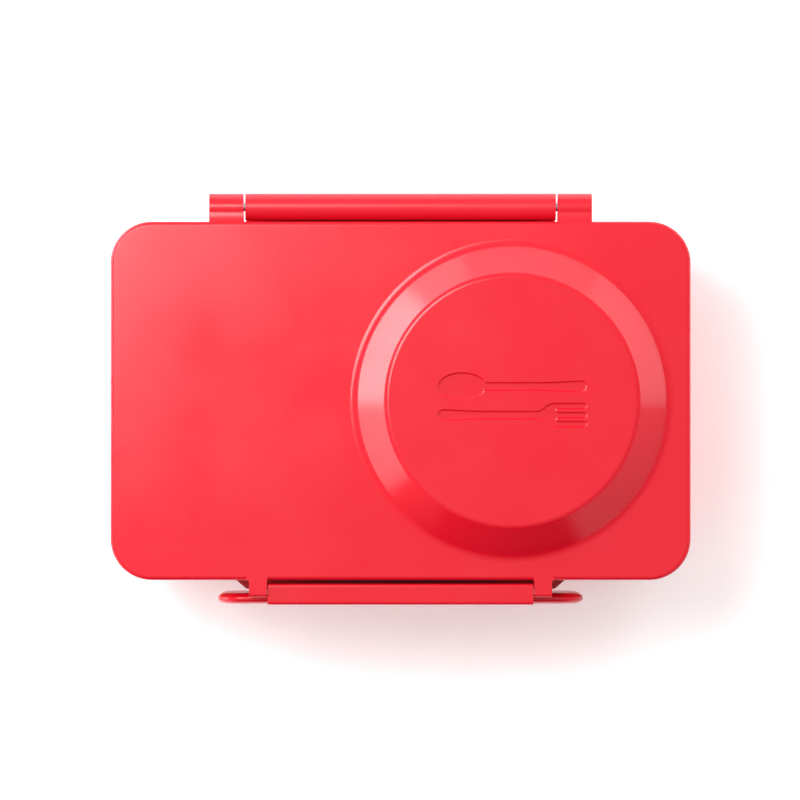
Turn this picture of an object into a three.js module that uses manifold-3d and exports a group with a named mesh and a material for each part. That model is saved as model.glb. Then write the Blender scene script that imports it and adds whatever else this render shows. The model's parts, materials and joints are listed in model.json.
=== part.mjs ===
// Lunch box with a domed lid, a carry latch, a divided cold bay and an insulated food jar.
// Millimetres, +Z up. The origin is on the floor under the middle of the box. -Y is the latch side.
import * as THREE from 'three';
import { mergeVertices } from 'three/addons/utils/BufferGeometryUtils.js';
import Module from 'manifold-3d';

const wasm = await Module();
wasm.setup();

// ---------- driving dimensions ----------
const gap = 0.3; // between pieces that touch
const lidWidth = 211;
const lidDepth = 130.4;
const lidCorner = 15;
const lidHeight = 19; // parting plane to flat top
const lidWall = 2.2;
const lidEdge = 1.5; // rounding of the lid's top edge
const baseHeight = 62; // floor to parting plane
const baseInset = 2.5; // base wall behind the lid's side
const baseWall = 2.2;
const baseTaper = 3; // how far the base wall leans in at the floor
const baseEdge = 3; // rounding of the base's floor edge
const baseInnerEdge = 2;

const domeHeight = 10.5;
const domeFromSide = 65; // lid's right side to the dome's axis
const domeRun = 11.3; // how far the dome's wall leans in
const domeFillet = 5;
const domeRound = 3;

const hingeRadius = 4.9;
const hingeClear = 0.5; // lid's rear wall to barrel
const barrelLength = 113;
const knuckleLength = 12.5;
const knuckleGap = 0.6;
const tabDrop = 0.4; // tab's top under the lid's top
const tabFront = 1.5; // tab's end before the hinge axis
const tabHaunch = 3; // how far the tab's root reaches below the barrel
const rootOverlap = 0.5; // how deep the lugs and tabs stand in the lid's wall below its inside
const bracketThick = 5.2;
const bracketDepth = 13; // how far the bracket reaches down the base wall
const hingePinRadius = 1.6;
const hingePinInBarrel = 12;
const pinEndGap = 0.5; // pin's end behind its knuckle's or lug's end

const latchOffset = 4.2; // latch axis in front of the lid
const latchBelowTop = 4.1;
const latchBarrel = 2.9; // half height of the neck's head
const neckHalfWidth = 48.3;
const neckThick = 3;
const neckRound = 1.6; // rounding of the neck's upper edges
const lugWidth = 6.5;
const lugNose = 2;
const lugDrop = 8.5; // lug's underside below the flat top
const lugTopRound = 1.6;
const lugTipRound = 2;
const lugHaunch = 4; // how far the lug's root reaches below its underside
const latchPinRadius = 0.9;
const latchPinInNeck = 9;
const plateHalfWidth = 66.8;
const plateThick = 4;
const plateFront = 4.8; // plate's and neck's front ahead of the latch axis
const plateTop = 8.9; // plate's top edge below the latch axis
const plateHeight = 48;
const plateCorner = 9;
const plateEdge = 1.8; // depth of the plate's pillowed edge
const plateEdgeReach = 4; // how far the pillowed edge reaches in from the outline
const gripHalfWidth = 43;
const gripHeight = 16;
const gripBar = 8; // material below the grip opening
const gripCorner = 7;
const lipHeight = 3.1;
const lipHalfWidth = 38;
const lipBite = 1.5; // how far the lip reaches under the ledge
const lipSeat = 1.3; // depth of the lip's seat in the plate
const lipNose = 1; // height of the lip's tip
const ledgeHalfWidth = 63.6;
const ledgeHeight = 7;
const ledgeBelowRim = 5;
const ledgeClear = 1.3; // ledge to plate

const linerWall = 1.8;
const linerDeck = 2;
const linerRaise = 4.5; // liner's underside above the floor
const landWidth = 5.8; // deck between the rim's outside and the cold bay
const bayCorner = 9;
const bayPastWell = 16.3; // how far the bay's corners reach past the near side of the jar's well
const railThick = 1.5;
const railReach = 2.5;

const dividerThick = 2;
const dividerBelowRim = 5.7;
const sealThick = 3.4;
const sealWidth = 3.2;
const sealGrip = 1.4; // how deep the divider's edge sits in its seal

const panelThick = 2.4;
const panelBelow = 0.6; // panel's underside above the parting plane
const panelUpstand = 8;
const panelClear = 0.4;
const panelSkin = 1.5;
const panelOverJar = 0.7; // panel's opening inside the jar's radius
const gasketWidth = 2.8;
const gasketSeat = 1.5;
const gasketFromSide = 5.3;

const jarRadius = 50.2;
const jarWellClear = 0.8;
const jarShell = 0.9;
const jarFootEdge = 5;
const footInset = 4.2; // jar's foot inside the jar's radius
const footThick = 1.8;
const jarGapBelow = 3.4; // insulating gap under the bowl
const jarInsulation = 5.2; // jar's outside to the inside of the bowl
const bowlEdge = 9;
const throatDrop = 1.5; // neck's inner start below the shoulder's inside
const neckStep = 6; // how much narrower the neck is than the bowl, in radius
const shoulderBelowRim = 6;
const shoulderRise = 4;
const neckRise = 8; // neck above the parting plane
const collarThick = 2;
const capWall = 1.8;
const capDeck = 2.2;
const capEdge = 3;
const capDeckRise = 20.5; // top of the cap above the parting plane
const gripBarLength = 72;
const gripBarWidth = 15;
const gripBarHeight = 4;
const gripBarEdge = 1;
const linerFlange = 2;
const plugDepth = 7.6;
const plugWall = 1.6;
const plugClear = 0.8;
const ringHeight = 2.6;
const ringDepth = 1.7;
const ringFromTip = 2.2; // jar ring's groove above the plug's tip
const ringReach = 0.6; // jar ring beyond the plug's side
const buttonRadius = 5.2;
const buttonFlange = 1.4;
const buttonEdge = 1;
const buttonProud = 0.4; // button above the grip bar

// ---------- derived places ----------
const flatTop = baseHeight + lidHeight;
const domeX = lidWidth / 2 - domeFromSide;
const lidBack = lidDepth / 2;
const hingeY = lidBack + hingeClear + hingeRadius;
const hingeZ = flatTop - hingeRadius;
const latchY = -lidBack - latchOffset;
const latchZ = flatTop - latchBelowTop;
const baseWidth = lidWidth - 2 * baseInset;
const baseDepth = lidDepth - 2 * baseInset;
const baseCorner = lidCorner - baseInset;
const rimTop = baseHeight - gap;
const shellTop = rimTop - linerDeck - gap;
const wellRadius = jarRadius + jarWellClear;
const bowlRadius = jarRadius - jarInsulation;
const neckRadius = bowlRadius - neckStep;
const linerFloor = linerRaise + linerWall;
const jarFoot = linerFloor + gap;
const capRadius = neckRadius + jarShell + gap + collarThick + gap + capWall;
const domeTopRadius = capRadius + domeRound / 2;
const domeBaseRadius = domeTopRadius + domeRun;

const red = { color: 0xe8303f, roughness: 0.32, metalness: 0 };
const pale = { color: 0xe9e6df, roughness: 0.45, metalness: 0 };
const steel = { color: 0xc3c5c8, roughness: 0.28, metalness: 1 };
const silicone = { color: 0xdedbd2, roughness: 0.7, metalness: 0 };

// ---------- small kit ----------
const SEGMENTS_TURNED = 40;
const SEGMENTS_BARREL = 28;
const SEGMENTS_PIN = 20;
const CORNER_SEGMENTS = 5;
const ARC_STEPS = 4;
const PAST = 1; // how far a cutting shape runs past a face

function solid(geometry) {
  geometry.deleteAttribute('normal');
  geometry.deleteAttribute('uv');
  const merged = mergeVertices(geometry, 1e-4);
  const corners = merged.index.array;
  const kept = [];
  for (let i = 0; i < corners.length; i += 3) {
    const [a, b, c] = corners.slice(i, i + 3);
    if (a !== b && b !== c && c !== a) kept.push(a, b, c);
  }
  const vertProperties = new Float32Array(merged.attributes.position.array);
  const triVerts = new Uint32Array(kept);
  return new wasm.Manifold(new wasm.Mesh({ numProp: 3, vertProperties, triVerts }));
}

function joined(...solids) {
  return solids.reduce((whole, next) => whole.add(next));
}

function toGeometry(manifold) {
  const { vertProperties, triVerts } = manifold.getMesh();
  const geometry = new THREE.BufferGeometry();
  geometry.setAttribute('position', new THREE.BufferAttribute(vertProperties, 3));
  geometry.setIndex(new THREE.BufferAttribute(triVerts, 1));
  geometry.computeVertexNormals();
  return geometry;
}

function piece(group, name, manifold, look) {
  const mesh = new THREE.Mesh(toGeometry(manifold), new THREE.MeshStandardMaterial(look));
  mesh.name = name;
  group.add(mesh);
  return mesh;
}

function roundedRect(width, depth, radius, x = 0, y = 0) {
  const w = width / 2 - radius;
  const d = depth / 2 - radius;
  const shape = new THREE.Shape();
  shape.absarc(x + w, y + d, radius, 0, Math.PI / 2);
  shape.absarc(x - w, y + d, radius, Math.PI / 2, Math.PI);
  shape.absarc(x - w, y - d, radius, Math.PI, Math.PI * 1.5);
  shape.absarc(x + w, y - d, radius, Math.PI * 1.5, Math.PI * 2);
  shape.closePath();
  return shape;
}

// An upright prism of a plan shape. Its edges are rounded where a bevel is given, as deep as the bevel
// and as far in as its reach.
function prism(shape, low, high, bevel = 0, reach = bevel) {
  const geometry = new THREE.ExtrudeGeometry(shape, {
    depth: high - low - 2 * bevel,
    curveSegments: CORNER_SEGMENTS,
    bevelEnabled: bevel > 0,
    bevelThickness: bevel,
    bevelSize: reach,
    bevelOffset: -reach,
    bevelSegments: 2,
  });
  return geometry.translate(0, 0, low + bevel);
}

// A bar along X with a section drawn in Y and Z.
function barAlongX(section, from, to) {
  const geometry = new THREE.ExtrudeGeometry(section, {
    depth: to - from,
    curveSegments: CORNER_SEGMENTS,
    bevelEnabled: false,
  });
  const turn = new THREE.Matrix4().makeBasis(
    new THREE.Vector3(0, 1, 0),
    new THREE.Vector3(0, 0, 1),
    new THREE.Vector3(1, 0, 0),
  );
  return solid(geometry.applyMatrix4(turn).translate(from, 0, 0));
}

// A plate whose outline is drawn in X and Z, from its back at +Y to its front at -Y.
function plateFacingFront(outline, back, front, bevel = 0, reach = bevel) {
  const geometry = prism(outline, 0, back - front, bevel, reach);
  return solid(geometry.rotateX(Math.PI / 2).translate(0, back, 0));
}

function box(x0, x1, y0, y1, z0, z1) {
  const geometry = new THREE.BoxGeometry(x1 - x0, y1 - y0, z1 - z0);
  return solid(geometry.translate((x0 + x1) / 2, (y0 + y1) / 2, (z0 + z1) / 2));
}

// A solid of revolution about Z. The profile is a list of [radius, height] pairs that closes on itself,
// on the axis or as a ring.
function turned(profile, segments = SEGMENTS_TURNED) {
  let area = 0;
  profile.forEach(([r, z], i) => {
    const [rNext, zNext] = profile[(i + 1) % profile.length];
    area += r * zNext - rNext * z;
  });
  const ordered = area > 0 ? profile : [...profile].reverse();
  const onAxis = ordered.findIndex(([r], i) => r === 0 && ordered.at(i - 1)[0] === 0);
  const start = Math.max(onAxis, 0);
  const cycle = [...ordered.slice(start), ...ordered.slice(0, start)];
  if (onAxis < 0) cycle.push(cycle[0]);
  const points = cycle.map(([r, z]) => new THREE.Vector2(r, z));
  return solid(new THREE.LatheGeometry(points, segments).rotateX(Math.PI / 2));
}

function disc(radius, low, high, x = 0, y = 0, segments = SEGMENTS_TURNED) {
  return turned([[0, low], [radius, low], [radius, high], [0, high]], segments).translate([x, y, 0]);
}

function ring(inner, outer, low, high, x = 0, y = 0) {
  const profile = [[inner, low], [outer, low], [outer, high], [inner, high]];
  return turned(profile).translate([x, y, 0]);
}

function rodAlongX(radius, from, to, y, z, segments = SEGMENTS_PIN) {
  const geometry = new THREE.CylinderGeometry(radius, radius, to - from, segments);
  return solid(geometry.rotateZ(Math.PI / 2).translate((from + to) / 2, y, z));
}

// Points on an arc, for turned profiles.
function arc(r, z, radius, from, to, steps = ARC_STEPS) {
  return Array.from({ length: steps + 1 }, (_, i) => {
    const angle = ((from + ((to - from) * i) / steps) * Math.PI) / 180;
    return [r + radius * Math.cos(angle), z + radius * Math.sin(angle)];
  });
}

// How far a tapered wall leans in at a height.
function lean(z) {
  return baseTaper * (1 - z / rimTop);
}

// Leans a prism's walls in towards the floor.
function tapered(geometry) {
  const position = geometry.attributes.position;
  for (let i = 0; i < position.count; i += 1) {
    const inset = lean(position.getZ(i));
    position.setX(i, position.getX(i) * (1 - (2 * inset) / baseWidth));
    position.setY(i, position.getY(i) * (1 - (2 * inset) / baseDepth));
  }
  return solid(geometry);
}

// ---------- base ----------
function baseShell() {
  const outline = roundedRect(baseWidth, baseDepth, baseCorner);
  const inside = roundedRect(baseWidth - 2 * baseWall, baseDepth - 2 * baseWall, baseCorner - baseWall);
  const above = box(-lidWidth, lidWidth, -lidDepth, lidDepth, shellTop, flatTop + lidWidth);
  const outer = tapered(prism(outline, 0, baseHeight + 2 * baseEdge, baseEdge)).subtract(above);
  const cavity = tapered(prism(inside, baseWall, baseHeight + 2 * baseEdge, baseInnerEdge));
  const tub = joined(outer, hingeBracket(), catchLedge()).subtract(cavity);
  return tub.subtract(hingeBores());
}

function hingeBracket() {
  const wall = baseDepth / 2;
  const front = hingeY - bracketThick / 2;
  const back = hingeY + bracketThick / 2;
  const shelf = shellTop + gap;
  const section = new THREE.Shape();
  section.moveTo(wall - baseWall, shelf - bracketDepth);
  section.lineTo(wall + PAST, shelf - bracketDepth);
  section.lineTo(back, shelf - bracketThick);
  section.lineTo(back, hingeZ);
  section.lineTo(front, hingeZ);
  section.lineTo(front, shelf);
  section.lineTo(wall + gap, shelf);
  section.lineTo(wall - baseWall, shellTop);
  section.closePath();
  const web = barAlongX(section, -barrelLength / 2, barrelLength / 2);
  const ends = [-barrelLength / 2, barrelLength / 2];
  return web.add(rodAlongX(hingeRadius, ...ends, hingeY, hingeZ, SEGMENTS_BARREL));
}

function hingeBores() {
  const end = barrelLength / 2;
  const bore = hingePinRadius + gap;
  const left = rodAlongX(bore, -end - PAST, -end + hingePinInBarrel + gap, hingeY, hingeZ);
  return left.add(rodAlongX(bore, end - hingePinInBarrel - gap, end + PAST, hingeY, hingeZ));
}

function catchLedge() {
  const wall = -baseDepth / 2 + baseWall + lean(ledgeBottom());
  const front = latchY - plateFront + plateThick + ledgeClear;
  const run = Math.abs(front + baseDepth / 2);
  const plan = new THREE.Shape();
  plan.moveTo(-ledgeHalfWidth, wall);
  plan.lineTo(-ledgeHalfWidth, front + run);
  plan.lineTo(-ledgeHalfWidth + run, front);
  plan.lineTo(ledgeHalfWidth - run, front);
  plan.lineTo(ledgeHalfWidth, front + run);
  plan.lineTo(ledgeHalfWidth, wall);
  plan.closePath();
  return solid(prism(plan, ledgeBottom(), ledgeBottom() + ledgeHeight));
}

function ledgeBottom() {
  return baseHeight - ledgeBelowRim - ledgeHeight;
}

function bayOutline(grow) {
  const left = -baseWidth / 2 + landWidth - grow;
  const right = domeX - wellRadius - linerWall + bayPastWell + grow;
  const depth = baseDepth - 2 * landWidth + 2 * grow;
  return roundedRect(right - left, depth, bayCorner + grow, (left + right) / 2);
}

function baseLiner() {
  const deck = solid(prism(roundedRect(baseWidth, baseDepth, baseCorner), rimTop - linerDeck, rimTop));
  const under = rimTop - linerDeck / 2;
  const bayTub = tapered(prism(bayOutline(linerWall), linerRaise, under));
  const wellTub = disc(wellRadius + linerWall, linerRaise, under, domeX);
  const bay = tapered(prism(bayOutline(0), linerFloor, flatTop));
  const bayHollow = bay.subtract(disc(wellRadius + linerWall, 0, flatTop + PAST, domeX));
  const well = disc(wellRadius, linerFloor, flatTop, domeX);
  const tub = joined(deck, bayTub, wellTub).subtract(bayHollow).subtract(well);
  return joined(tub, dividerRails());
}

function dividerRails() {
  const inner = sealThick / 2 + gap;
  const outer = inner + railThick;
  const bayLeft = -baseWidth / 2 + landWidth;
  const wellLeft = domeX - wellRadius - linerWall;
  const low = linerFloor - linerWall / 2;
  const high = rimTop - dividerBelowRim;
  const rails = [];
  for (const [from, to] of [[inner, outer], [-outer, -inner]]) {
    const wallSide = box(bayLeft - linerWall / 2, bayLeft + lean(0) + railReach, from, to, low, high);
    const outsideBay = tapered(prism(bayOutline(linerWall / 2), 0, flatTop));
    rails.push(wallSide.intersect(outsideBay));
    rails.push(box(wellLeft - railReach, wellLeft + linerWall / 2, from, to, low, high));
  }
  return joined(...rails);
}

// The divider's edge line with a margin to the liner, drawn in X and Z.
function dividerOutline(margin, top) {
  const low = linerFloor + margin;
  const bayLeft = -baseWidth / 2 + landWidth;
  const right = domeX - wellRadius - linerWall - margin;
  const outline = new THREE.Shape();
  outline.moveTo(bayLeft + lean(low) + margin, low);
  outline.lineTo(right, low);
  outline.lineTo(right, top);
  outline.lineTo(bayLeft + lean(top) + margin, top);
  outline.closePath();
  return outline;
}

function divider() {
  const margin = gap + sealWidth - sealGrip;
  const top = rimTop - dividerBelowRim;
  return plateFacingFront(dividerOutline(margin, top), dividerThick / 2, -dividerThick / 2);
}

function dividerSeal() {
  const top = rimTop - dividerBelowRim;
  const half = sealThick / 2;
  const slotHalf = dividerThick / 2 + gap;
  const slotMargin = sealWidth - sealGrip;
  const past = half + PAST;
  const whole = plateFacingFront(dividerOutline(gap, top), half, -half);
  const middle = plateFacingFront(dividerOutline(gap + sealWidth, top + PAST), past, -past);
  const slot = plateFacingFront(dividerOutline(slotMargin, top + PAST), slotHalf, -slotHalf);
  return whole.subtract(middle).subtract(slot);
}

function buildBase() {
  const group = new THREE.Group();
  piece(group, 'base_shell', baseShell(), red);
  piece(group, 'base_liner', baseLiner(), pale);
  piece(group, 'divider', divider(), pale);
  piece(group, 'divider_seal', dividerSeal(), silicone);
  const reach = knuckleLength + knuckleGap - pinEndGap;
  for (const [side, sign] of [['left', -1], ['right', 1]]) {
    const inner = barrelLength / 2 - hingePinInBarrel;
    const outer = barrelLength / 2 + reach;
    const [from, to] = [sign * inner, sign * outer].sort((a, b) => a - b);
    piece(group, `hinge_pin_${side}`, rodAlongX(hingePinRadius, from, to, hingeY, hingeZ), steel);
  }
  return group;
}

// ---------- lid ----------
// The dome's outer profile: a concave fillet on the flat top, a sloping wall and a rounded plateau edge.
function domeProfile() {
  const slope = Math.atan2(domeHeight, domeRun);
  const setback = Math.tan(slope / 2);
  const degrees = (slope * 180) / Math.PI;
  const foot = domeBaseRadius + domeFillet * setback;
  const crown = domeTopRadius - domeRound * setback;
  return [
    ...arc(foot, flatTop + domeFillet, domeFillet, 270, 270 - degrees),
    ...arc(crown, flatTop + domeHeight - domeRound, domeRound, 90 - degrees, 90),
  ];
}

function domeHollow() {
  const inset = lidWall * Math.tan(Math.atan2(domeHeight, domeRun) / 2);
  const ceiling = flatTop - lidWall;
  return turned([
    [0, ceiling - PAST],
    [domeBaseRadius - inset, ceiling - PAST],
    [domeBaseRadius - inset, ceiling],
    [domeTopRadius - inset, ceiling + domeHeight],
    [0, ceiling + domeHeight],
  ]);
}

function lidLug(from, to) {
  const root = lidWall - rootOverlap;
  const front = -latchOffset - lugNose;
  const section = new THREE.Shape();
  section.moveTo(root, 0);
  section.lineTo(front + lugTopRound, 0);
  section.quadraticCurveTo(front, 0, front, -lugTopRound);
  section.lineTo(front, -lugDrop + lugTipRound);
  section.quadraticCurveTo(front, -lugDrop, front + lugTipRound, -lugDrop);
  section.lineTo(root, -lugDrop - lugHaunch);
  section.closePath();
  return barAlongX(section, from, to).translate([0, -lidBack, flatTop]);
}

function hingeKnuckle(from, to) {
  const top = flatTop - tabDrop;
  const section = new THREE.Shape();
  const root = lidBack - lidWall + rootOverlap;
  section.moveTo(root, top);
  section.lineTo(hingeY - tabFront, top);
  section.lineTo(hingeY, hingeZ);
  section.lineTo(hingeY - tabFront, hingeZ - hingeRadius + tabFront / 2);
  section.lineTo(root, hingeZ - hingeRadius - tabHaunch);
  section.closePath();
  const tab = barAlongX(section, from, to);
  return tab.add(rodAlongX(hingeRadius, from, to, hingeY, hingeZ, SEGMENTS_BARREL));
}

function lidShell() {
  const outline = roundedRect(lidWidth, lidDepth, lidCorner);
  const inside = roundedRect(lidWidth - 2 * lidWall, lidDepth - 2 * lidWall, lidCorner - lidWall);
  const below = box(-lidWidth, lidWidth, -lidDepth, lidDepth, 0, baseHeight);
  const block = solid(prism(outline, baseHeight - 2 * lidEdge, flatTop, lidEdge)).subtract(below);
  const rise = domeProfile();
  const sunk = flatTop - lidWall / 2;
  const dome = turned([[0, sunk], [rise[0][0], sunk], ...rise, [0, flatTop + domeHeight]]);
  const cavity = solid(prism(inside, baseHeight - PAST, flatTop - lidWall));
  const hollow = cavity.add(domeHollow().translate([domeX, 0, 0]));
  const knuckleStart = barrelLength / 2 + knuckleGap;
  const lugStart = neckHalfWidth + gap;
  const outside = joined(
    block,
    dome.translate([domeX, 0, 0]),
    hingeKnuckle(knuckleStart, knuckleStart + knuckleLength),
    hingeKnuckle(-knuckleStart - knuckleLength, -knuckleStart),
    lidLug(lugStart, lugStart + lugWidth),
    lidLug(-lugStart - lugWidth, -lugStart),
  );
  const hingeBore = rodAlongX(hingePinRadius + gap, -lidWidth / 2, lidWidth / 2, hingeY, hingeZ);
  const latchBore = rodAlongX(latchPinRadius + gap, -lidWidth / 2, lidWidth / 2, latchY, latchZ);
  return outside.subtract(hollow).subtract(hingeBore).subtract(latchBore);
}

function perimeter(fromSide, width, low, high) {
  const outer = roundedRect(lidWidth - 2 * fromSide, lidDepth - 2 * fromSide, lidCorner - fromSide);
  const innerSide = fromSide + width;
  const innerCorner = Math.max(lidCorner - innerSide, 1);
  const inner = roundedRect(lidWidth - 2 * innerSide, lidDepth - 2 * innerSide, innerCorner);
  return solid(prism(outer, low, high)).subtract(solid(prism(inner, low - PAST, high + PAST)));
}

function lidInnerPanel() {
  const low = baseHeight + panelBelow;
  const side = lidWall + panelClear;
  const outline = roundedRect(lidWidth - 2 * side, lidDepth - 2 * side, lidCorner - side);
  const plate = solid(prism(outline, low, low + panelThick));
  const upstand = perimeter(side, panelSkin, low, low + panelThick + panelUpstand);
  const opening = jarRadius - panelOverJar;
  const collar = ring(opening, opening + panelSkin, low, flatTop - lidWall - gap, domeX);
  const seat = perimeter(gasketFromSide - gap, gasketWidth + 2 * gap, low - PAST, low + gasketSeat);
  const whole = plate.subtract(disc(opening, low - PAST, low + panelThick + PAST, domeX));
  return joined(whole, upstand, collar).subtract(seat);
}

function lidGasket() {
  const top = baseHeight + panelBelow + gasketSeat - gap;
  return perimeter(gasketFromSide, gasketWidth, baseHeight, top);
}

function buildLid() {
  const group = new THREE.Group();
  piece(group, 'lid_shell', lidShell(), red);
  piece(group, 'lid_inner_panel', lidInnerPanel(), pale);
  piece(group, 'lid_gasket', lidGasket(), silicone);
  for (const [side, sign] of [['left', -1], ['right', 1]]) {
    const inner = neckHalfWidth - latchPinInNeck;
    const outer = neckHalfWidth + gap + lugWidth - pinEndGap;
    const [from, to] = [sign * inner, sign * outer].sort((a, b) => a - b);
    piece(group, `latch_pin_${side}`, rodAlongX(latchPinRadius, from, to, latchY, latchZ), steel);
  }
  return group;
}

// ---------- latch, drawn about its own axis ----------
function latchNeck() {
  const head = latchBarrel;
  const section = new THREE.Shape();
  const round = neckRound;
  const foot = -plateTop - plateEdgeReach;
  section.moveTo(head, -round);
  section.lineTo(head, head - round);
  section.absarc(head - round, head - round, round, 0, Math.PI / 2);
  section.lineTo(round - plateFront, head);
  section.absarc(round - plateFront, head - round, round, Math.PI / 2, Math.PI);
  section.lineTo(-plateFront, foot);
  section.lineTo(-plateFront + neckThick, foot);
  section.lineTo(-plateFront + neckThick, -head);
  section.lineTo(head - round, -head);
  section.closePath();
  return barAlongX(section, -neckHalfWidth, neckHalfWidth);
}

function latchFlap() {
  const back = plateThick - plateFront;
  const middle = -plateTop - plateHeight / 2;
  const outline = roundedRect(2 * plateHalfWidth, plateHeight, plateCorner, 0, middle);
  const plate = plateFacingFront(outline, back, -plateFront, plateEdge, plateEdgeReach);
  const gripLow = -plateTop - plateHeight + gripBar;
  const gripOutline = roundedRect(2 * gripHalfWidth, gripHeight, gripCorner, 0, gripLow + gripHeight / 2);
  const grip = plateFacingFront(gripOutline, back + PAST, -plateFront - PAST);
  const lipTop = ledgeBottom() - latchZ;
  const seat = box(
    -lipHalfWidth - gap,
    lipHalfWidth + gap,
    back - lipSeat - gap,
    back + PAST,
    lipTop - gap - lipHeight - gap,
    lipTop,
  );
  const bore = latchPinRadius + gap;
  const boreEnd = neckHalfWidth - latchPinInNeck - gap;
  const bores = joined(
    rodAlongX(bore, -neckHalfWidth - PAST, -boreEnd, 0, 0),
    rodAlongX(bore, boreEnd, neckHalfWidth + PAST, 0, 0),
  );
  return joined(plate, latchNeck()).subtract(grip).subtract(seat).subtract(bores);
}

function latchSnapLip() {
  const back = plateThick - plateFront;
  const top = ledgeBottom() - latchZ - gap;
  const tip = back + ledgeClear + lipBite;
  const section = new THREE.Shape();
  section.moveTo(back - lipSeat, top - lipHeight);
  section.lineTo(back, top - lipHeight);
  section.lineTo(tip, top - lipNose);
  section.lineTo(tip, top);
  section.lineTo(back - lipSeat, top);
  section.closePath();
  return barAlongX(section, -lipHalfWidth, lipHalfWidth);
}

function buildLatch() {
  const group = new THREE.Group();
  group.position.set(0, latchY, latchZ);
  piece(group, 'latch_flap', latchFlap(), red);
  piece(group, 'latch_snap_lip', latchSnapLip(), silicone);
  return group;
}

// ---------- food jar, drawn about its own axis with its foot at zero ----------
const jarShellLow = footThick + gap;
const jarShoulder = baseHeight - shoulderBelowRim - jarFoot;
const jarNeckLow = jarShoulder + shoulderRise;
const jarNeckTop = baseHeight + neckRise - jarFoot;
const bowlLow = jarShellLow + jarShell + jarGapBelow;
const neckOuter = neckRadius + jarShell;

function jarOuterWall() {
  const edge = jarFootEdge;
  return turned([
    [0, jarShellLow],
    ...arc(jarRadius - edge, jarShellLow + edge, edge, 270, 360),
    ...arc(jarRadius - shoulderRise, jarShoulder, shoulderRise, 0, 90),
    [neckOuter + gap, jarNeckLow],
    [neckOuter + gap, jarNeckLow - jarShell],
    ...arc(jarRadius - shoulderRise, jarShoulder, shoulderRise - jarShell, 90, 0),
    ...arc(jarRadius - edge, jarShellLow + edge, edge - jarShell, 360, 270),
    [0, jarShellLow + jarShell],
  ]);
}

function jarInnerBowl() {
  const edge = bowlEdge;
  const throat = jarNeckLow - jarShell - throatDrop - (bowlRadius - neckRadius);
  return turned([
    [0, bowlLow],
    ...arc(bowlRadius + jarShell - edge, bowlLow + edge, edge, 270, 360),
    [bowlRadius + jarShell, throat],
    [neckOuter, throat + bowlRadius - neckRadius],
    [neckOuter, jarNeckTop],
    [neckRadius, jarNeckTop],
    [neckRadius, throat + bowlRadius - neckRadius],
    [bowlRadius, throat],
    ...arc(bowlRadius + jarShell - edge, bowlLow + edge, edge - jarShell, 360, 270),
    [0, bowlLow + jarShell],
  ]);
}

function jarCollar() {
  return ring(neckOuter + gap, neckOuter + gap + collarThick, jarNeckLow + gap, jarNeckTop);
}

function buildJar() {
  const group = new THREE.Group();
  group.position.set(domeX, 0, jarFoot);
  piece(group, 'jar_outer_wall', jarOuterWall(), steel);
  piece(group, 'jar_inner_bowl', jarInnerBowl(), steel);
  piece(group, 'jar_collar', jarCollar(), pale);
  piece(group, 'jar_base_cap', disc(jarRadius - footInset, 0, footThick), silicone);
  return group;
}

// ---------- jar lid, drawn about the jar's axis with the neck's top at zero ----------
const capTop = capDeckRise - neckRise;
const capSkirt = jarNeckLow - jarNeckTop + 2 * gap;
const buttonTop = capTop + gripBarHeight + buttonProud;

function jarLidCap() {
  const edge = capEdge;
  const inner = capRadius - capWall;
  const shell = turned([
    [0, capTop - capDeck],
    [inner, capTop - capDeck],
    [inner, capSkirt],
    [capRadius, capSkirt],
    ...arc(capRadius - edge, capTop - edge, edge, 0, 90),
    [0, capTop],
  ]);
  const barOutline = roundedRect(gripBarWidth, gripBarLength, gripBarWidth / 2);
  const bar = solid(prism(barOutline, capTop - capDeck / 2, capTop + gripBarHeight, gripBarEdge));
  const hole = disc(buttonRadius + gap, 0, capTop + 2 * gripBarHeight, 0, 0, SEGMENTS_BARREL);
  return shell.add(bar).subtract(hole);
}

function jarLidLiner() {
  const rim = capRadius - capWall - gap;
  const plug = neckRadius - plugClear;
  const ringLow = -plugDepth + ringFromTip;
  const ringFloor = plug - ringDepth;
  return turned([
    [0, -plugDepth],
    [plug, -plugDepth],
    [plug, ringLow],
    [ringFloor, ringLow],
    [ringFloor, ringLow + ringHeight],
    [plug, ringLow + ringHeight],
    [plug, gap],
    [rim, gap],
    [rim, gap + linerFlange],
    [ringFloor - plugWall, gap + linerFlange],
    [ringFloor - plugWall, plugWall - plugDepth],
    [0, plugWall - plugDepth],
  ]);
}

function jarLidGasket() {
  const plug = neckRadius - plugClear;
  const low = -plugDepth + ringFromTip + gap;
  return ring(plug - ringDepth + gap, plug + ringReach, low, low + ringHeight - 2 * gap);
}

function jarVentButton() {
  const stem = capTop - capDeck - gap;
  const flange = buttonRadius + gap + buttonFlange;
  return turned([
    [0, stem - buttonFlange],
    [flange, stem - buttonFlange],
    [flange, stem],
    [buttonRadius, stem],
    ...arc(buttonRadius - buttonEdge, buttonTop - buttonEdge, buttonEdge, 0, 90),
    [0, buttonTop],
  ], SEGMENTS_BARREL);
}

function buildJarLid() {
  const group = new THREE.Group();
  group.position.set(domeX, 0, jarFoot + jarNeckTop);
  piece(group, 'jar_lid_cap', jarLidCap(), red);
  piece(group, 'jar_lid_liner', jarLidLiner(), pale);
  piece(group, 'jar_lid_gasket', jarLidGasket(), silicone);
  piece(group, 'jar_vent_button', jarVentButton(), pale);
  return group;
}

const lunchBox = new THREE.Group();
lunchBox.add(buildBase(), buildLid(), buildLatch(), buildJar(), buildJarLid());

export default lunchBox;
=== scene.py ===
"""Lunch box with a domed lid: fine shapes, materials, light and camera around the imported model."""

import json
import math

import bmesh
import bpy
from mathutils import Matrix, Vector


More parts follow.
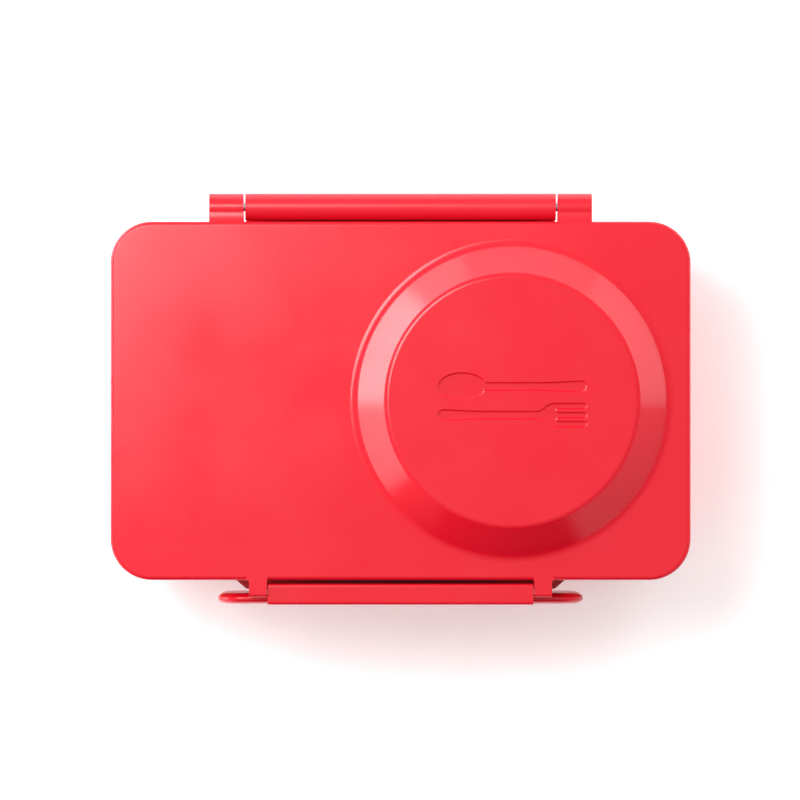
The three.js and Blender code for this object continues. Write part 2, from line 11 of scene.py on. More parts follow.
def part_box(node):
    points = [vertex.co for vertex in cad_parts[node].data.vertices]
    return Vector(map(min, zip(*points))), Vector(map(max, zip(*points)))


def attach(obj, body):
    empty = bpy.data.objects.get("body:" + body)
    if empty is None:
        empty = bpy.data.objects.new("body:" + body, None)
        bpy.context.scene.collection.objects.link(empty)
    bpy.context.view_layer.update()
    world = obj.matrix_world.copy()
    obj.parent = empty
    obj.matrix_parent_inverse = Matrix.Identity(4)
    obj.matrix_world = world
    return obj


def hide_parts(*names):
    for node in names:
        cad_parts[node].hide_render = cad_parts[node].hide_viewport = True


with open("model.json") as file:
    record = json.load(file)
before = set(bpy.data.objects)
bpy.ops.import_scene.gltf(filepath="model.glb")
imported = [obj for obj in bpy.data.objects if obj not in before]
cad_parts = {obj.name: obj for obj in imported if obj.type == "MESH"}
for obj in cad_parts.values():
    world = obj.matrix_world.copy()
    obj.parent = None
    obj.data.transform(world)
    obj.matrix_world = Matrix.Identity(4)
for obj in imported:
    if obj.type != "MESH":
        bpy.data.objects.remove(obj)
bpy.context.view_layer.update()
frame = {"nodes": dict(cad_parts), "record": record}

MM = 0.001
GAP = 0.3
PAST = 1.0    # how far a cutting tool passes the face that it cuts


def node_box(name):
    """A node's lowest and highest corner in millimetres."""
    low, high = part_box(name)
    return Vector(low) / MM, Vector(high) / MM


# ---------- sizes, in millimetres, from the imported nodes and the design's own radii ----------
LID_LOW, LID_HIGH = node_box("lid_shell")
LINER_LOW, LINER_HIGH = node_box("base_liner")
FLAP_LOW, FLAP_HIGH = node_box("latch_flap")
LIP_LOW, LIP_HIGH = node_box("latch_snap_lip")
PANEL_LOW, PANEL_HIGH = node_box("lid_inner_panel")
GASKET_LOW, GASKET_HIGH = node_box("lid_gasket")
JAR_LOW, JAR_HIGH = node_box("jar_outer_wall")
BOWL_LOW, BOWL_HIGH = node_box("jar_inner_bowl")
COLLAR_LOW, COLLAR_HIGH = node_box("jar_collar")
FOOT_LOW, FOOT_HIGH = node_box("jar_base_cap")
CAP_LOW, CAP_HIGH = node_box("jar_lid_cap")
PLUG_LOW, PLUG_HIGH = node_box("jar_lid_liner")
RING_LOW, RING_HIGH = node_box("jar_lid_gasket")
BUTTON_LOW, BUTTON_HIGH = node_box("jar_vent_button")
HINGE_PIN_LOW, HINGE_PIN_HIGH = node_box("hinge_pin_right")
LATCH_PIN_LOW, LATCH_PIN_HIGH = node_box("latch_pin_right")

LID_HALF_X = LID_HIGH.x
LID_HALF_Y = 65.2
LID_CORNER = 15.0
LID_WALL = 2.2
LID_EDGE = 1.5
TAB_BITE = 1.7
DOME_HEIGHT = 10.5
PARTING = LID_LOW.z
FLAT_TOP = LID_HIGH.z - DOME_HEIGHT
DOME_RUN = 11.3
DOME_FILLET = 5.0
DOME_ROUND = 3.0
DOME_X = (JAR_LOW.x + JAR_HIGH.x) / 2
CAP_RADIUS = (CAP_HIGH.x - CAP_LOW.x) / 2
DOME_TOP = CAP_RADIUS + DOME_ROUND / 2
DOME_BASE = DOME_TOP + DOME_RUN

BASE_HALF_X = LINER_HIGH.x
BASE_HALF_Y = LID_HALF_Y - 2.5
BASE_CORNER = LID_CORNER - 2.5
BASE_WALL = 2.2
BASE_TAPER = 3.0
BASE_EDGE = 3.0
DECK_THICK = 2.0
RIM_TOP = PARTING - GAP
SHELL_TOP = RIM_TOP - DECK_THICK - GAP

HINGE_Y = (HINGE_PIN_LOW.y + HINGE_PIN_HIGH.y) / 2
HINGE_Z = (HINGE_PIN_LOW.z + HINGE_PIN_HIGH.z) / 2
HINGE_RADIUS = 4.9
HINGE_BORE_DEPTH = 12.3
PIN_BORE = (HINGE_PIN_HIGH.z - HINGE_PIN_LOW.z) / 2 + GAP
BARREL_HALF = 56.5
KNUCKLE_START = BARREL_HALF + 0.6
KNUCKLE_END = KNUCKLE_START + 12.5

LATCH_Y = (LATCH_PIN_LOW.y + LATCH_PIN_HIGH.y) / 2
LATCH_Z = (LATCH_PIN_LOW.z + LATCH_PIN_HIGH.z) / 2
LATCH_BORE = (LATCH_PIN_HIGH.z - LATCH_PIN_LOW.z) / 2 + GAP
NECK_HALF = LATCH_PIN_LOW.x + 9.0
LUG_START = NECK_HALF + GAP
LUG_END = LATCH_PIN_HIGH.x + 0.5
PLATE_BACK = FLAP_LOW.y + 4.0


# ---------- mesh kit: everything is drawn in millimetres ----------
def rounded_ring(half_x, half_y, radius, z, steps=14, centre=(0.0, 0.0)):
    """Points of a rounded rectangle at a height, counter-clockwise."""
    points = []
    corners = ((1, 1, 0), (-1, 1, 90), (-1, -1, 180), (1, -1, 270))
    for sign_x, sign_y, start in corners:
        for i in range(steps + 1):
            angle = math.radians(start + 90 * i / steps)
            x = centre[0] + sign_x * (half_x - radius) + radius * math.cos(angle)
            y = centre[1] + sign_y * (half_y - radius) + radius * math.sin(angle)
            points.append((x, y, z))
    return points


def rounding(radius, steps=6):
    """(inset, rise) pairs on a quarter arc: an outside edge goes from (0, 0) to (radius, radius)."""
    pairs = []
    for i in range(steps + 1):
        angle = math.radians(90 * i / steps)
        pairs.append((radius * (1 - math.cos(angle)), radius * math.sin(angle)))
    return pairs


def arc(r, z, radius, start, end, steps=8):
    """(radius, height) pairs on an arc, for turned profiles."""
    pairs = []
    for i in range(steps + 1):
        angle = math.radians(start + (end - start) * i / steps)
        pairs.append((r + radius * math.cos(angle), z + radius * math.sin(angle)))
    return pairs


def new_object(name, bm):
    """Welds a bmesh, turns its faces outward and puts it in the scene as an object."""
    weld = 1e-5
    bmesh.ops.remove_doubles(bm, verts=bm.verts, dist=weld)
    bmesh.ops.recalc_face_normals(bm, faces=bm.faces)
    mesh = bpy.data.meshes.new(name)
    bm.to_mesh(mesh)
    bm.free()
    obj = bpy.data.objects.new(name, mesh)
    bpy.context.scene.collection.objects.link(obj)
    return obj


def loft(name, rings, closed=False):
    """A skin over rings of equal length. It is capped at both ends, or joined end to end where closed."""
    bm = bmesh.new()
    rows = [[bm.verts.new(p) for p in ring] for ring in rings]
    pairs = list(zip(rows, rows[1:] + rows[:1] if closed else rows[1:]))
    count = len(rows[0])
    for low, high in pairs:
        for i in range(count):
            j = (i + 1) % count
            bm.faces.new((low[i], low[j], high[j], high[i]))
    if not closed:
        bm.faces.new(rows[0])
        bm.faces.new(rows[-1])
    return new_object(name, bm)


def turned(name, profile, x=0.0, y=0.0, segments=128):
    """A solid of revolution about an upright axis. The profile closes on the axis or on itself."""
    bm = bmesh.new()
    rows = []
    for r, z in profile:
        if r == 0:
            rows.append([bm.verts.new((x, y, z))])
            continue
        row = []
        for i in range(segments):
            angle = 2 * math.pi * i / segments
            row.append(bm.verts.new((x + r * math.cos(angle), y + r * math.sin(angle), z)))
        rows.append(row)
    for low, high in zip(rows, rows[1:] + rows[:1]):
        for i in range(segments):
            j = (i + 1) % segments
            if len(low) == 1 and len(high) == 1:
                break
            if len(low) == 1:
                bm.faces.new((low[0], high[j], high[i]))
            elif len(high) == 1:
                bm.faces.new((low[i], low[j], high[0]))
            else:
                bm.faces.new((low[i], low[j], high[j], high[i]))
    return new_object(name, bm)


def rod(name, radius, x0, x1, y, z, edge=0.0, segments=48):
    """A rod along X with rounded ends."""
    half = (x1 - x0) / 2
    profile = [(0, -half), (radius, -half), (radius, half), (0, half)]
    if edge:
        profile = [(0, -half)] + arc(radius - edge, edge - half, edge, 270, 360, 4)
        profile += arc(radius - edge, half - edge, edge, 0, 90, 4) + [(0, half)]
    obj = turned(name, profile, segments=segments)
    turn = Matrix.Translation(((x0 + x1) / 2, y, z)) @ Matrix.Rotation(math.pi / 2, 4, "Y")
    obj.data.transform(turn)
    return obj


def bar(name, section, x0, x1):
    """A bar along X with a section of (y, z) points."""
    return loft(name, [[(x, y, z) for y, z in section] for x in (x0, x1)])


def upright(name, outline, low, high):
    """An upright prism of (x, y) points."""
    return loft(name, [[(x, y, z) for x, y in outline] for z in (low, high)])


def block(name, x0, x1, y0, y1, z0, z1):
    """A box given by its faces, for ribs, rails and seats."""
    return upright(name, [(x0, y0), (x1, y0), (x1, y1), (x0, y1)], z0, z1)


def combine(target, operation, *tools):
    """Joins or cuts the target with the tools, which are used up."""
    for tool in tools:
        modifier = target.modifiers.new("bool", "BOOLEAN")
        modifier.operation = operation
        modifier.solver = "EXACT"
        modifier.object = tool
        depsgraph = bpy.context.evaluated_depsgraph_get()
        made = bpy.data.meshes.new_from_object(target.evaluated_get(depsgraph))
        target.modifiers.clear()
        spent = target.data
        target.data = made
        bpy.data.meshes.remove(spent)
        bpy.data.meshes.remove(tool.data)
    return target


def join(target, *tools):
    return combine(target, "UNION", *tools)


def cut(target, *tools):
    return combine(target, "DIFFERENCE", *tools)


def soften(obj, width):
    """Rounds the sharp edges and shades the rest smooth."""
    sharp_angle = math.radians(38)
    obj.data.polygons.foreach_set("use_smooth", [True] * len(obj.data.polygons))
    obj.data.set_sharp_from_angle(angle=sharp_angle)
    if width:
        bevel = obj.modifiers.new("edge", "BEVEL")
        bevel.width = width
        bevel.segments = 2
        bevel.limit_method = "ANGLE"
        bevel.angle_limit = sharp_angle
        bevel.use_clamp_overlap = True
        bevel.harden_normals = True
    weighted = obj.modifiers.new("normals", "WEIGHTED_NORMAL")
    weighted.keep_sharp = True
    weighted.weight = 80


def piece(obj, node, material, width):
    """Scales a drawn piece to metres and lets it stand for its CAD node on the node's body."""
    obj.data.transform(Matrix.Scale(MM, 4))
    soften(obj, width * MM)
    obj.data.materials.clear()
    obj.data.materials.append(material)
    for body, nodes in frame["record"]["behaviour"]["bodies"].items():
        if node in nodes:
            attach(obj, body)
    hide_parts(node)
    return obj


# ---------- materials ----------
class Nodes:
    """A short way to write a node tree."""

    def __init__(self, name):
        self.material = bpy.data.materials.new(name)
        self.material.use_nodes = True
        self.tree = self.material.node_tree
        self.tree.nodes.clear()
        self.shader = self.add("ShaderNodeBsdfPrincipled")
        out = self.add("ShaderNodeOutputMaterial")
        self.link(self.shader.outputs["BSDF"], out.inputs["Surface"])
        self.place = self.add("ShaderNodeTexCoord").outputs["Object"]

    def add(self, kind, **values):
        node = self.tree.nodes.new(kind)
        for name, value in values.items():
            setattr(node, name, value)
        return node

    def link(self, source, target):
        self.tree.links.new(source, target)

    def noise(self, scale, detail=3.0, roughness=0.5, stretch=None):
        node = self.add("ShaderNodeTexNoise")
        node.inputs["Scale"].default_value = scale
        node.inputs["Detail"].default_value = detail
        node.inputs["Roughness"].default_value = roughness
        place = self.place
        if stretch:
            mapping = self.add("ShaderNodeMapping")
            mapping.inputs["Scale"].default_value = stretch
            self.link(place, mapping.inputs["Vector"])
            place = mapping.outputs["Vector"]
        self.link(place, node.inputs["Vector"])
        return node.outputs["Fac"]

    def remap(self, value, low_in, high_in, low_out, high_out):
        node = self.add("ShaderNodeMapRange")
        node.inputs["From Min"].default_value = low_in
        node.inputs["From Max"].default_value = high_in
        node.inputs["To Min"].default_value = low_out
        node.inputs["To Max"].default_value = high_out
        self.link(value, node.inputs["Value"])
        return node.outputs["Result"]

    def maths(self, operation, a, b):
        node = self.add("ShaderNodeMath", operation=operation)
        for socket, value in zip(node.inputs, (a, b)):
            if isinstance(value, (int, float)):
                socket.default_value = value
            else:
                self.link(value, socket)
        return node.outputs["Value"]

    def mix(self, factor, a, b):
        node = self.add("ShaderNodeMix", data_type="RGBA")
        self.link(factor, node.inputs["Factor"])
        for name, value in (("A", a), ("B", b)):
            socket = next(s for s in node.inputs if s.name == name and s.type == "RGBA")
            if isinstance(value, tuple):
                socket.default_value = (*value, 1.0)
            else:
                self.link(value, socket)
        return next(s for s in node.outputs if s.type == "RGBA")

    def bump(self, height, distance, strength=1.0, below=None):
        node = self.add("ShaderNodeBump")
        node.inputs["Distance"].default_value = distance
        node.inputs["Strength"].default_value = strength
        self.link(height, node.inputs["Height"])
        if below:
            self.link(below, node.inputs["Normal"])
        return node.outputs["Normal"]

    def edges(self):
        """1 on tight edges and 0 elsewhere, broken up by noise."""
        bevel = self.add("ShaderNodeBevel", samples=4)
        bevel.inputs["Radius"].default_value = 0.0004
        turn = self.add("ShaderNodeVectorMath", operation="DOT_PRODUCT")
        self.link(bevel.outputs["Normal"], turn.inputs[0])
        self.link(self.add("ShaderNodeNewGeometry").outputs["Normal"], turn.inputs[1])
        sharp = self.remap(turn.outputs["Value"], 0.95, 0.8, 0.0, 1.0)
        patchy = self.remap(self.noise(160, 4), 0.42, 0.62, 0.0, 1.0)
        return self.maths("MULTIPLY", sharp, patchy)


def plastic(name, colour, deep, worn, roughness, grain=0.000005, scatter=0.0):
    """Moulded plastic: slow colour drift, a fine eroded grain, faint hairlines and rubbed edges."""
    n = Nodes(name)
    drift = n.remap(n.noise(9, 2), 0.35, 0.65, 0.0, 1.0)
    body = n.mix(drift, deep, colour)
    rubbed = n.maths("MULTIPLY", n.edges(), 0.35)
    n.link(n.mix(rubbed, body, worn), n.shader.inputs["Base Color"])
    cloudy = n.remap(n.noise(34, 5, 0.6), 0.3, 0.7, roughness - 0.035, roughness + 0.045)
    hairs = n.remap(n.noise(1, 2, 0.5, (60, 2600, 900)), 0.6, 0.8, 0.0, 0.006)
    n.link(n.maths("ADD", cloudy, hairs), n.shader.inputs["Roughness"])
    fine = n.bump(n.noise(2600, 2, 0.5), grain)
    waves = n.bump(n.noise(16, 1), 0.00012, 0.35, fine)
    n.link(waves, n.shader.inputs["Normal"])
    n.shader.inputs["IOR"].default_value = 1.47
    if scatter:
        n.shader.inputs["Subsurface Weight"].default_value = scatter
        n.shader.inputs["Subsurface Radius"].default_value = (1.0, 0.6, 0.45)
        n.shader.inputs["Subsurface Scale"].default_value = 0.0025
    return n.material


def spun_steel(name, centre_x, centre_y, roughness):
    """Stainless steel spun on a lathe: rings round the axis, smudges and fine scratches."""
    n = Nodes(name)
    shifted = n.add("ShaderNodeMapping")
    shifted.inputs["Location"].default_value = (-centre_x * MM, -centre_y * MM, 0)
    n.link(n.place, shifted.inputs["Vector"])
    split = n.add("ShaderNodeSeparateXYZ")
    n.link(shifted.outputs["Vector"], split.inputs["Vector"])
    square_x, square_y = (n.maths("POWER", split.outputs[axis], 2.0) for axis in "XY")
    radius = n.maths("SQRT", n.maths("ADD", square_x, square_y), 0.0)
    rings_at = n.add("ShaderNodeCombineXYZ")
    n.link(radius, rings_at.inputs["X"])
    n.link(split.outputs["Z"], rings_at.inputs["Z"])
    rings = n.add("ShaderNodeTexNoise")
    rings.inputs["Scale"].default_value = 5200
    rings.inputs["Detail"].default_value = 2
    n.link(rings_at.outputs["Vector"], rings.inputs["Vector"])
    smudge = n.remap(n.noise(38, 4, 0.6), 0.35, 0.7, 0.0, 1.0)
    n.link(n.mix(smudge, (0.60, 0.60, 0.61), (0.69, 0.69, 0.70)), n.shader.inputs["Base Color"])
    grain = n.remap(rings.outputs["Fac"], 0.3, 0.7, roughness - 0.06, roughness + 0.08)
    n.link(n.maths("ADD", grain, n.maths("MULTIPLY", smudge, 0.05)), n.shader.inputs["Roughness"])
    n.link(n.bump(rings.outputs["Fac"], 0.000006), n.shader.inputs["Normal"])
    n.shader.inputs["Metallic"].default_value = 1.0
    n.shader.inputs["Anisotropic"].default_value = 0.45
    return n.material


def ground_steel(name):
    """A ground pin: hairlines across its length and a little oil."""
    n = Nodes(name)
    lines = n.noise(1, 3, 0.6, (2400, 90, 90))
    oil = n.remap(n.noise(300, 3), 0.4, 0.65, 0.0, 1.0)
    n.link(n.mix(oil, (0.50, 0.50, 0.51), (0.61, 0.60, 0.58)), n.shader.inputs["Base Color"])
    n.link(n.remap(lines, 0.3, 0.7, 0.2, 0.38), n.shader.inputs["Roughness"])
    n.link(n.bump(lines, 0.000008), n.shader.inputs["Normal"])
    n.shader.inputs["Metallic"].default_value = 1.0
    return n.material


def silicone(name, colour):
    """Matt food silicone: milky, softly mottled, with a dusty sheen."""
    n = Nodes(name)
    mottle = n.remap(n.noise(70, 4, 0.6), 0.3, 0.7, 0.0, 1.0)
    darker = tuple(c * 0.9 for c in colour)
    n.link(n.mix(mottle, darker, colour), n.shader.inputs["Base Color"])
    n.link(n.remap(n.noise(240, 4), 0.3, 0.7, 0.48, 0.66), n.shader.inputs["Roughness"])
    n.link(n.bump(n.noise(1700, 2), 0.00001), n.shader.inputs["Normal"])
    n.shader.inputs["Subsurface Weight"].default_value = 0.35
    n.shader.inputs["Subsurface Radius"].default_value = (1.0, 0.9, 0.75)
    n.shader.inputs["Subsurface Scale"].default_value = 0.002
    n.shader.inputs["Sheen Weight"].default_value = 0.08
    return n.material


RED = (0.80, 0.006, 0.022)
RED_DEEP = (0.775, 0.005, 0.020)
RED_WORN = (0.86, 0.045, 0.06)
PALE = (0.74, 0.72, 0.66)
PALE_DEEP = (0.70, 0.68, 0.62)
PALE_WORN = (0.80, 0.79, 0.74)
MILKY = (0.72, 0.71, 0.66)

red_lid = plastic("red_lid_plastic", RED, RED_DEEP, RED_WORN, 0.21, grain=0.000003, scatter=0.03)
red_body = plastic("red_body_plastic", RED, RED_DEEP, RED_WORN, 0.3, grain=0.000006, scatter=0.03)
red_latch = plastic("red_latch_plastic", RED, RED_DEEP, RED_WORN, 0.22, grain=0.000003, scatter=0.03)
liner_plastic = plastic("liner_plastic", PALE, PALE_DEEP, PALE_WORN, 0.42, grain=0.00002, scatter=0.08)
jar_plastic = plastic("jar_plastic", PALE, PALE_DEEP, PALE_WORN, 0.36, scatter=0.08)
jar_steel = spun_steel("spun_steel", DOME_X, 0.0, 0.26)
pin_steel = ground_steel("ground_pin_steel")
seal_silicone = silicone("food_silicone", MILKY)


# ---------- lid ----------
def lid_block():
    """The lid without its dome: a skirt with a rounded foot and a rounded top edge."""
    rings = []
    foot = ((0.5, 0.0), (0.15, 0.15), (0.0, 0.5))
    for inset, rise in foot:
        rings.append(lid_ring(inset, PARTING + rise))
    for inset, rise in rounding(LID_EDGE):
        rings.append(lid_ring(inset, FLAT_TOP - LID_EDGE + rise))
    return loft("lid_shell_fine", rings)


def lid_ring(inset, z):
    """The lid's outline moved inward."""
    return rounded_ring(LID_HALF_X - inset, LID_HALF_Y - inset, LID_CORNER - inset, z)


def dome():
    """The round dome, with a wide fillet at its foot and a rounded crown."""
    slope = math.degrees(math.atan2(DOME_HEIGHT, DOME_RUN))
    setback = math.tan(math.radians(slope) / 2)
    foot = DOME_BASE + DOME_FILLET * setback
    crown = DOME_TOP - DOME_ROUND * setback
    sunk = 0.004
    profile = [(0, FLAT_TOP - PAST), (foot, FLAT_TOP - PAST)]
    profile += arc(foot, FLAT_TOP + DOME_FILLET - sunk, DOME_FILLET, 270, 270 - slope, 12)
    profile += arc(crown, FLAT_TOP + DOME_HEIGHT - DOME_ROUND, DOME_ROUND, 90 - slope, 90, 12)
    profile += [(0, FLAT_TOP + DOME_HEIGHT)]
    return turned("dome", profile, DOME_X, 0.0, 192)


def disc(name, radius, low, high, segments=128):
    """A plain round plug on the dome's axis, mostly used as a cutting tool."""
    return turned(name, [(0, low), (radius, low), (radius, high), (0, high)], DOME_X, 0.0, segments)


def lid_hollow():
    """The space inside the lid and its dome."""
    corner = 2.0
    ceiling = FLAT_TOP - LID_WALL
    rings = [lid_ring(LID_WALL, PARTING - PAST)]
    for inset, rise in rounding(corner, 4):
        rings.append(lid_ring(LID_WALL + inset, ceiling - corner + rise))
    inset = LID_WALL * math.tan(math.atan2(DOME_HEIGHT, DOME_RUN) / 2)
    base = DOME_BASE - inset
    profile = [(0, ceiling - PAST), (base, ceiling - PAST), (base, ceiling)]
    profile += arc(DOME_TOP - inset - corner, ceiling + DOME_HEIGHT - corner, corner, 40, 90, 6)
    profile += [(0, ceiling + DOME_HEIGHT)]
    return join(loft("lid_hollow", rings), turned("dome_hollow", profile, DOME_X, 0.0, 128))


def lug(start, end):
    """A front lug that flows out of the lid, with a small fillet outside and a smaller one by the latch."""
    by_latch, outside = 0.15, 0.8
    left, right = (by_latch, outside) if start > 0 else (outside, by_latch)
    nose_reach, top_round, tip_round = 2.0, 1.2, 2.0
    tip_drop, haunch_drop = 8.5, 12.5
    wall = -LID_HALF_Y
    root = wall + TAB_BITE
    nose = LATCH_Y - nose_reach
    section = [(root, FLAT_TOP)]
    section += arc(nose + top_round, FLAT_TOP - top_round, top_round, 90, 180, 8)
    section += arc(nose + tip_round, FLAT_TOP - tip_drop + tip_round, tip_round, 180, 270, 6)
    section += [(root, FLAT_TOP - haunch_drop)]
    body = bar("lug", section, start - left, end + right)
    outline = [(start - left, root), (start - left, wall)]
    outline += arc(start - left, wall - left, left, 90, 0, 6)
    outline += [(start, nose - PAST), (end, nose - PAST)]
    outline += arc(end + right, wall - right, right, 180, 90, 6)
    outline += [(end + right, wall), (end + right, root)]
    return combine(body, "INTERSECT", upright("lug_plan", outline, PARTING, FLAT_TOP + PAST))


def knuckle(start, end):
    """A knuckle round the hinge pin, on a tab that leaves the lid's rear wall."""
    shoulder_drop, shoulder_back = 0.4, 1.5
    haunch_back, haunch_rise, root_drop = 2.0, 0.6, 3.0
    top = FLAT_TOP - shoulder_drop
    under = HINGE_Z - HINGE_RADIUS
    wall = LID_HALF_Y - TAB_BITE
    section = [(wall, top), (HINGE_Y - shoulder_back, top), (HINGE_Y, HINGE_Z)]
    section += [(HINGE_Y - haunch_back, under + haunch_rise), (wall, under - root_drop)]
    tab = bar("tab", section, start, end)
    return join(tab, rod("knuckle", HINGE_RADIUS, start, end, HINGE_Y, HINGE_Z, 0, 64))


def table_sign(top):
    """A generic engraved sign: a spoon above a fork, laid across the dome."""
    handle, grip, tip, waist, row = 1.35, 1.9, 26.8, 12.0, 5.2
    bowl_x, bowl_y, bowl_centre, bowl_steps = 8.6, 4.9, -18.2, 40
    start = math.degrees(math.asin(handle / bowl_y))
    sweep = 360 - 2 * start
    turns = [math.radians(start + sweep * i / bowl_steps) for i in range(bowl_steps + 1)]
    bowl = [(bowl_x * math.cos(a) + bowl_centre, bowl_y * math.sin(a)) for a in turns]
    spoon = arc(tip - grip, 0, grip, -90, 90, 10) + [(waist, handle)] + bowl + [(waist, -handle)]
    half_tine, half_slot, tine_pitch, slot_end, tine_end = 0.95, 0.675, 3.25, 16.5, 26.0
    shoulder = [(9.5, handle), (11, 2.0), (12.5, 3.4), (14.5, tine_pitch + half_tine)]
    upper = [(-waist, handle)] + shoulder
    upper += arc(tine_end, tine_pitch, half_tine, 90, -90, 8)
    upper += arc(slot_end, tine_pitch / 2, half_slot, 90, 270, 8)
    upper += arc(tine_end, 0, half_tine, 90, 0, 5)
    lower = [(x, -y) for x, y in reversed(upper[:-1])]
    fork = arc(grip - tip, 0, grip, 270, 90, 10) + upper + lower
    walls = ((-0.32, -0.6), (-0.22, -0.55), (0.28, 0.0), (0.45, 0.17))
    signs = []
    for name, outline, y in (("spoon", spoon, row), ("fork", fork, -row)):
        placed = [(DOME_X + px, y + py) for px, py in outline]
        rings = [[(*p, top + rise) for p in grown(placed, spread)] for spread, rise in walls]
        signs.append(loft(name, rings))
    return signs


def grown(outline, spread):
    """An outline moved outward by a spread, corner by corner."""
    count = len(outline)
    area = sum(outline[i - 1][0] * outline[i][1] - outline[i][0] * outline[i - 1][1] for i in range(count))
    sign = 1 if area > 0 else -1
    moved = []
    for i in range(count):
        before, here, after = (Vector(outline[j % count]) for j in (i - 1, i, i + 1))
        one, two = (here - before).normalized(), (after - here).normalized()
        first, second = Vector((one.y, -one.x)), Vector((two.y, -two.x))
        middle = (first + second).normalized()
        reach = spread / max(middle.dot(first), 0.6)
        moved.append(tuple(here + middle * reach * sign))
    return moved


def lid_shell():
    """The lid with its dome, hinge knuckles, latch lugs and engraved sign."""
    shell = join(
        lid_block(),
        dome(),
        lug(LUG_START, LUG_END),
        lug(-LUG_END, -LUG_START),
        knuckle(KNUCKLE_START, KNUCKLE_END),
        knuckle(-KNUCKLE_END, -KNUCKLE_START),
    )
    bores = [
        rod("hinge_bore", PIN_BORE, KNUCKLE_START - PAST, KNUCKLE_END + PAST, HINGE_Y, HINGE_Z),
        rod("hinge_bore", PIN_BORE, -KNUCKLE_END - PAST, -KNUCKLE_START + PAST, HINGE_Y, HINGE_Z),
        rod("latch_bore", LATCH_BORE, LUG_START - PAST, LUG_END + PAST, LATCH_Y, LATCH_Z, 0, 32),
        rod("latch_bore", LATCH_BORE, -LUG_END - PAST, -LUG_START + PAST, LATCH_Y, LATCH_Z, 0, 32),
    ]
    return cut(shell, lid_hollow(), *bores, *table_sign(FLAT_TOP + DOME_HEIGHT))


def lid_band(name, pairs):
    """A closed ring along the lid's outline, with a section of (inset, height) pairs."""
    rings = []
    for inset, z in pairs:
        corner = max(LID_CORNER - inset, 1.0)
        rings.append(rounded_ring(LID_HALF_X - inset, LID_HALF_Y - inset, corner, z, 10))
    return loft(name, rings, closed=True)


def rectangle(a, b, low, high):
    """The section of a plain ring."""
    return [(a, low), (b, low), (b, high), (a, high)]


def inner_panel():
    """The lid's inner skin: plate, jar opening with its collar, upstand, ribs and the gasket's seat."""
    thick, upstand_rise, wall = 2.4, 10.4, 1.5
    collar_grip = 0.7
    seat_outer, seat_inner, seat_depth = 5.0, 8.4, 1.5
    rib_thick, rib_root, rib_rise = 1.2, 2.0, 9.0
    side = LID_HALF_X - PANEL_HIGH.x
    low = PANEL_LOW.z
    plate = loft("lid_inner_panel_fine", [
        rounded_ring(LID_HALF_X - side, LID_HALF_Y - side, LID_CORNER - side, z, 10)
        for z in (low, low + thick)
    ])
    opening = JAR_HIGH.x - DOME_X - collar_grip
    outer = opening + wall
    hole = disc("hole", opening + collar_grip, low - PAST, low + thick + PAST)
    collar_profile = [(opening, low), (outer, low), (outer, PANEL_HIGH.z), (opening, PANEL_HIGH.z)]
    seat = lid_band("seat", rectangle(seat_outer, seat_inner, low - PAST, low + seat_depth))
    rib_end = LID_HALF_Y - side - 1
    ribs = [
        block("rib", x, x + rib_thick, -rib_end, rib_end, low + rib_root, low + rib_rise)
        for x in (-70, -40)
    ]
    panel = join(
        cut(plate, hole),
        turned("collar", collar_profile, DOME_X, 0.0),
        lid_band("upstand", rectangle(side, side + wall, low, low + upstand_rise)),
        *ribs,
    )
    return cut(panel, seat)


def lid_seal():
    """The lid's gasket, with slanted sides on its lower face."""
    outer, inner, slant, nose = 5.3, 8.1, 0.6, 0.5
    low, high = GASKET_LOW.z, GASKET_HIGH.z
    return lid_band("lid_gasket_fine", [
        (outer, high), (outer, low + nose), (outer + slant, low),
        (inner - slant, low), (inner, low + nose), (inner, high),
    ])


# ---------- base ----------
def base_lean(z):
    """How far the base's leaning wall stands in at a height."""
    return BASE_TAPER * (1 - z / RIM_TOP)


def base_ring(inset, z):
    """The base's outline at a height, moved inward."""
    whole = inset + base_lean(z)
    corner = max(BASE_CORNER - inset, 1.0)
    return rounded_ring(BASE_HALF_X - whole, BASE_HALF_Y - whole, corner, z)


def base_shell():
    """The lower casing with its hinge barrel, catch ledge and foot rim."""
    edge = rounding(BASE_EDGE)[::-1]
    outer = [base_ring(inset, BASE_EDGE - rise) for inset, rise in edge]
    outer += [base_ring(0, SHELL_TOP - 0.3), base_ring(0.25, SHELL_TOP)]
    inner = [base_ring(BASE_WALL + inset, BASE_WALL + BASE_EDGE - rise) for inset, rise in edge]
    inner.append(base_ring(BASE_WALL, SHELL_TOP + 2 * PAST))
    shell = join(loft("base_shell_fine", outer), hinge_bracket(), catch_ledge())
    rim, corner, recess, lean = 12.0, 8.0, 0.8, 0.8
    underside = [
        rounded_ring(BASE_HALF_X - rim, BASE_HALF_Y - rim, corner, -PAST),
        rounded_ring(BASE_HALF_X - rim - lean, BASE_HALF_Y - rim - lean, corner - lean, recess),
    ]
    bore_start = BARREL_HALF - HINGE_BORE_DEPTH
    bores = [
        rod("bore", PIN_BORE, bore_start, BARREL_HALF + PAST, HINGE_Y, HINGE_Z),
        rod("bore", PIN_BORE, -BARREL_HALF - PAST, -bore_start, HINGE_Y, HINGE_Z),
    ]
    return cut(shell, loft("base_hollow", inner), loft("underside", underside), *bores)


